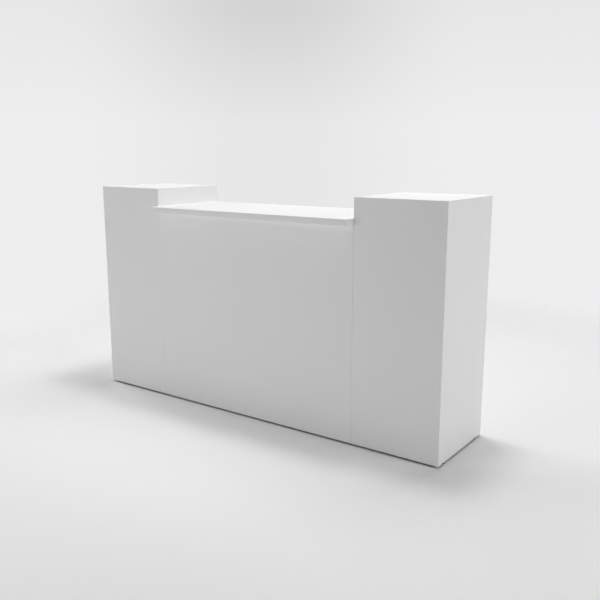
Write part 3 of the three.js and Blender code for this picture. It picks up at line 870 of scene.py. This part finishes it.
tree.links.new(skin.outputs["Normal"], surface.inputs["Normal"])

foot_low, foot_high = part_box("left_foot_outer_front")
pad_height = shell_low.z - foot_low.z - pad_top_gap
flange_top = rounded_end(pad_radius, pad_flange, pad_round)
pad = spun([(0, 0), (pad_radius - pad_round, 0), (pad_radius, pad_round), *flange_top[:-1], (0, pad_flange)],
           foot_sides)
hexagon = bmesh.new()
bmesh.ops.create_cone(hexagon, cap_ends=True, segments=6, radius1=hexagon_radius, radius2=hexagon_radius,
                      depth=pad_height - pad_flange / 2,
                      matrix=Matrix.Translation(Z * (pad_height + pad_flange / 2) / 2))
ease(hexagon, hexagon.edges[:], hexagon_ease, segments=2)
pad = combine(pad, hexagon, "UNION")
stem_top = foot_high.z - foot_low.z
thread_root = stem_radius - thread_depth
thread = [(0, pad_flange)]
turn_start = pad_flange
while turn_start + thread_pitch < stem_top:
    thread += [(thread_root, turn_start), (stem_radius, turn_start + thread_pitch / 2)]
    turn_start += thread_pitch
thread += [(thread_root, turn_start), (thread_root, stem_top), (0, stem_top)]
stem = spun(thread, foot_sides)
levellers = {f"{side}_{row}_{end}": f"{side}_foot_{row}_{end}"
             for side in sides for row in ("outer", "inner") for end in ("front", "rear")}
levellers.update({f"middle_{side}_{end}": f"middle_foot_{side}_{end}"
                  for side in sides for end in ("front", "rear")})
for name, node in levellers.items():
    low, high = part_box(node)
    there = Matrix.Translation(Vector(((low.x + high.x) / 2, (low.y + high.y) / 2, low.z)))
    body = f"{name}_leveller"
    fit(f"{name}_foot_pad", copies(pad.copy(), [there]), black_nylon, "black_nylon", body, node)
    fit(f"{name}_foot_stem", copies(stem.copy(), [there]), bright_zinc, "zinc_steel", body)


# Module bolts. At each seam four bolts in sleeve nuts draw a tower and the middle together. A flat domed head
# shows on the inner face of the board on either side, nickel-plated, with a hexagon socket.
bolt_radius = 8.5 * mm
bolt_head = 1.8 * mm
bolt_round = 1.2 * mm
socket_radius = 2.9 * mm
socket_depth = 1.3 * mm
bolt_depths = (-170 * mm, 192 * mm)
bolt_heights = (220 * mm, 880 * mm)
bolt = spun([(0, 0), (bolt_radius, 0), *rounded_end(bolt_radius, bolt_head, bolt_round)])
socket = bmesh.new()
bmesh.ops.create_cone(socket, cap_ends=True, segments=6, radius1=socket_radius, radius2=socket_radius,
                      depth=2 * socket_depth, matrix=Matrix.Translation(Z * bolt_head))
bolt = combine(bolt, socket)
for side in sides:
    for name, face, out in (("tower", inner_face, -X), ("bay", bay_face, X)):
        places = [aimed(Vector((face, y, z)), out) for y in bolt_depths for z in bolt_heights]
        shape = on_side(copies(bolt.copy(), places), side)
        fit(f"{side}_{name}_module_bolts", shape, satin_nickel, "satin_nickel", "carcass")


# Countertop screws. Eight countersunk screws go up through the middle module's top board into the countertop.
# Only their heads show, so the hinge leaves' shorter screw stands for them.
top_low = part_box("middle_top_panel")[0]
screw_columns = (-500 * mm, -180 * mm, 180 * mm, 500 * mm)
screw_rows = (-120 * mm, 160 * mm)
screw_level = top_low.z - screw_head_rim / 2
places = [aimed(Vector((x, y, screw_level)), -Z) for x in screw_columns for y in screw_rows]
fit("countertop_screws", copies(leaf_screw.copy(), places), bright_zinc, "zinc_steel", "carcass")


# Studio. A floor painted matt white, under a small key and a wide softbox overhead, one softbox at each side,
# in front and behind, and a weak one over the floor in front. The floor's paint fades out before it ends, so
# that it runs into the pale backdrop with no edge, seen from any side. Large lengths here are in metres.
floor_radius = 14
floor_sides = 96
fade_start = 1.9
fade_end = 3.6
roller_nap = 14 * mm
nap_height = 0.05 * mm
painted_floor, tree, place, surface = new_material("matt_floor_paint")
nap = add_node(tree, "ShaderNodeTexNoise", {"Vector": place, "Scale": 1 / roller_nap, "Detail": 2})
tint = add_node(tree, "ShaderNodeMix", {
    "Factor": nap.outputs["Fac"],
    "A": linear("#fafafa"),
    "B": linear("#fcfcfc"),
}, data_type="RGBA")
skin = add_node(tree, "ShaderNodeBump", {"Height": nap.outputs["Fac"], "Distance": nap_height})
surface.inputs["Roughness"].default_value = 0.9
tree.links.new(tint.outputs["Result"], surface.inputs["Base Color"])
tree.links.new(skin.outputs["Normal"], surface.inputs["Normal"])


def seen_directly(tree):
    """One for what the camera sees, straight or in a shiny or clear piece, and nought for what lights it."""
    ray = add_node(tree, "ShaderNodeLightPath")
    kinds = [ray.outputs[f"Is {kind} Ray"] for kind in ("Camera", "Glossy", "Transmission")]
    pair = add_node(tree, "ShaderNodeMath", {0: kinds[0], 1: kinds[1]}, operation="MAXIMUM")
    return add_node(tree, "ShaderNodeMath", {0: pair.outputs[0], 1: kinds[2]}, operation="MAXIMUM").outputs[0]


reach = add_node(tree, "ShaderNodeVectorMath", {0: place}, operation="LENGTH")
fade = add_node(tree, "ShaderNodeMapRange", {
    "Value": reach.outputs["Value"],
    "From Min": fade_start,
    "From Max": fade_end,
}, interpolation_type="SMOOTHSTEP")
gone = add_node(tree, "ShaderNodeMath", {
    0: fade.outputs["Result"],
    1: seen_directly(tree),
}, operation="MULTIPLY")
clear = add_node(tree, "ShaderNodeBsdfTransparent")
faded = add_node(tree, "ShaderNodeMixShader", {
    0: gone.outputs[0],
    1: surface.outputs["BSDF"],
    2: clear.outputs["BSDF"],
})
end = next(node for node in tree.nodes if node.type == "OUTPUT_MATERIAL")
tree.links.new(faded.outputs[0], end.inputs["Surface"])
floor_shape = bmesh.new()
bmesh.ops.create_circle(floor_shape, cap_ends=True, segments=floor_sides, radius=floor_radius)
floor_mesh = bpy.data.meshes.new("floor")
floor_shape.to_mesh(floor_mesh)
floor_shape.free()
floor_mesh.materials.append(painted_floor)
floor = bpy.data.objects.new("floor", floor_mesh)
bpy.context.scene.collection.objects.link(floor)

# Each softbox's width in metres, where it hangs, what it faces, and its watts
softboxes = {
    "key_softbox": (0.8, (0.25, 0.5, 5), (0.25, 0.5, 0), 50),
    "overhead_softbox": (2.5, (0, 1, 4), (0, 1, 0), 54),
    "right_softbox": (4, (6, 0, 2.5), (0, 0, 0.6), 129),
    "left_softbox": (4, (-6, 0, 2.5), (0, 0, 0.6), 187),
    "front_softbox": (3, (-1.5, -5, 0.8), (0, 0, 0.4), 50),
    "back_softbox": (2.5, (1, 3.5, 3), (1, 3.2, 0), 25),
    "foreground_softbox": (1.5, (-0.3, -2.6, 3), (-0.3, -2.2, 0), 12),
}
for name, (width, hung_at, faces, watts) in softboxes.items():
    lamp = bpy.data.lights.new(name, "AREA")
    lamp.shape = "DISK"
    lamp.size = width
    lamp.energy = watts
    softbox = bpy.data.objects.new(name, lamp)
    softbox.visible_camera = False
    softbox.location = hung_at
    softbox.rotation_euler = (Vector(faces) - Vector(hung_at)).to_track_quat("-Z", "Y").to_euler()
    bpy.context.scene.collection.objects.link(softbox)

world = bpy.data.worlds.new("studio")
world.use_nodes = True
tree = world.node_tree
tree.nodes.clear()

# The backdrop lights nothing. Its colour carries painted shade: a little darker up towards the ceiling, and
# darkest where its two walls meet in a wide cove.
across_cove = math.radians(52)
cove_spread = math.sin(math.radians(16))
horizon_rise = math.sin(math.radians(2))
ceiling_rise = math.sin(math.radians(10))
looking = add_node(tree, "ShaderNodeTexCoord").outputs["Generated"]
across = add_node(tree, "ShaderNodeVectorMath", {
    0: looking,
    1: (math.sin(across_cove), math.cos(across_cove), 0),
}, operation="DOT_PRODUCT")
off_cove = add_node(tree, "ShaderNodeMath", {0: across.outputs["Value"]}, operation="ABSOLUTE")
in_cove = add_node(tree, "ShaderNodeMapRange", {
    "Value": off_cove.outputs[0],
    "From Max": cove_spread,
    "To Min": 1,
    "To Max": 0,
}, interpolation_type="SMOOTHSTEP")
rise = add_node(tree, "ShaderNodeSeparateXYZ", {"Vector": looking}).outputs["Z"]
wall_shade, cove_shade = [add_node(tree, "ShaderNodeMapRange", {
    "Value": rise,
    "From Min": horizon_rise,
    "From Max": ceiling_rise,
    "To Min": at_horizon,
    "To Max": at_ceiling,
}).outputs["Result"] for at_horizon, at_ceiling in ((0, 0.25), (0.28, 0.7))]
shade = add_node(tree, "ShaderNodeMath", {
    0: in_cove.outputs["Result"],
    1: cove_shade,
    2: wall_shade,
}, operation="MULTIPLY_ADD")
# The backdrop's pale grey, with painted shade mixed in by height and by the cove
backdrop_with_painted_shade = add_node(tree, "ShaderNodeMix", {
    "Factor": shade.outputs[0],
    "A": linear("#eeeeee"),
    "B": linear("#d2d2d2"),
}, data_type="RGBA")
unlit = add_node(tree, "ShaderNodeBackground", {"Color": linear("#ffffff"), "Strength": 0})
backdrop = add_node(tree, "ShaderNodeBackground", {"Color": backdrop_with_painted_shade.outputs["Result"], "Strength": 1})
sky = add_node(tree, "ShaderNodeMixShader", {
    0: seen_directly(tree),
    1: unlit.outputs[0],
    2: backdrop.outputs[0],
})
add_node(tree, "ShaderNodeOutputWorld", {"Surface": sky.outputs[0]})
bpy.context.scene.world = world

# The camera stands where the photograph was taken from, in front of the counter, off to its right, and a
# little higher than its towers
camera_place = Vector((2.1917, -2.8250, 1.2900))
camera_yaw = math.radians(35.80)
camera_pitch = math.radians(11.60)
image_width = 600
focal_pixels = 728.8
camera_data = bpy.data.cameras.new("camera")
camera_data.sensor_width = 36
camera_data.lens = camera_data.sensor_width * focal_pixels / image_width
camera = bpy.data.objects.new("camera", camera_data)
camera.location = camera_place
camera.rotation_euler = (math.pi / 2 - camera_pitch, 0, camera_yaw)
bpy.context.scene.collection.objects.link(camera)
bpy.context.scene.camera = camera

bpy.context.scene.view_settings.view_transform = "Standard"
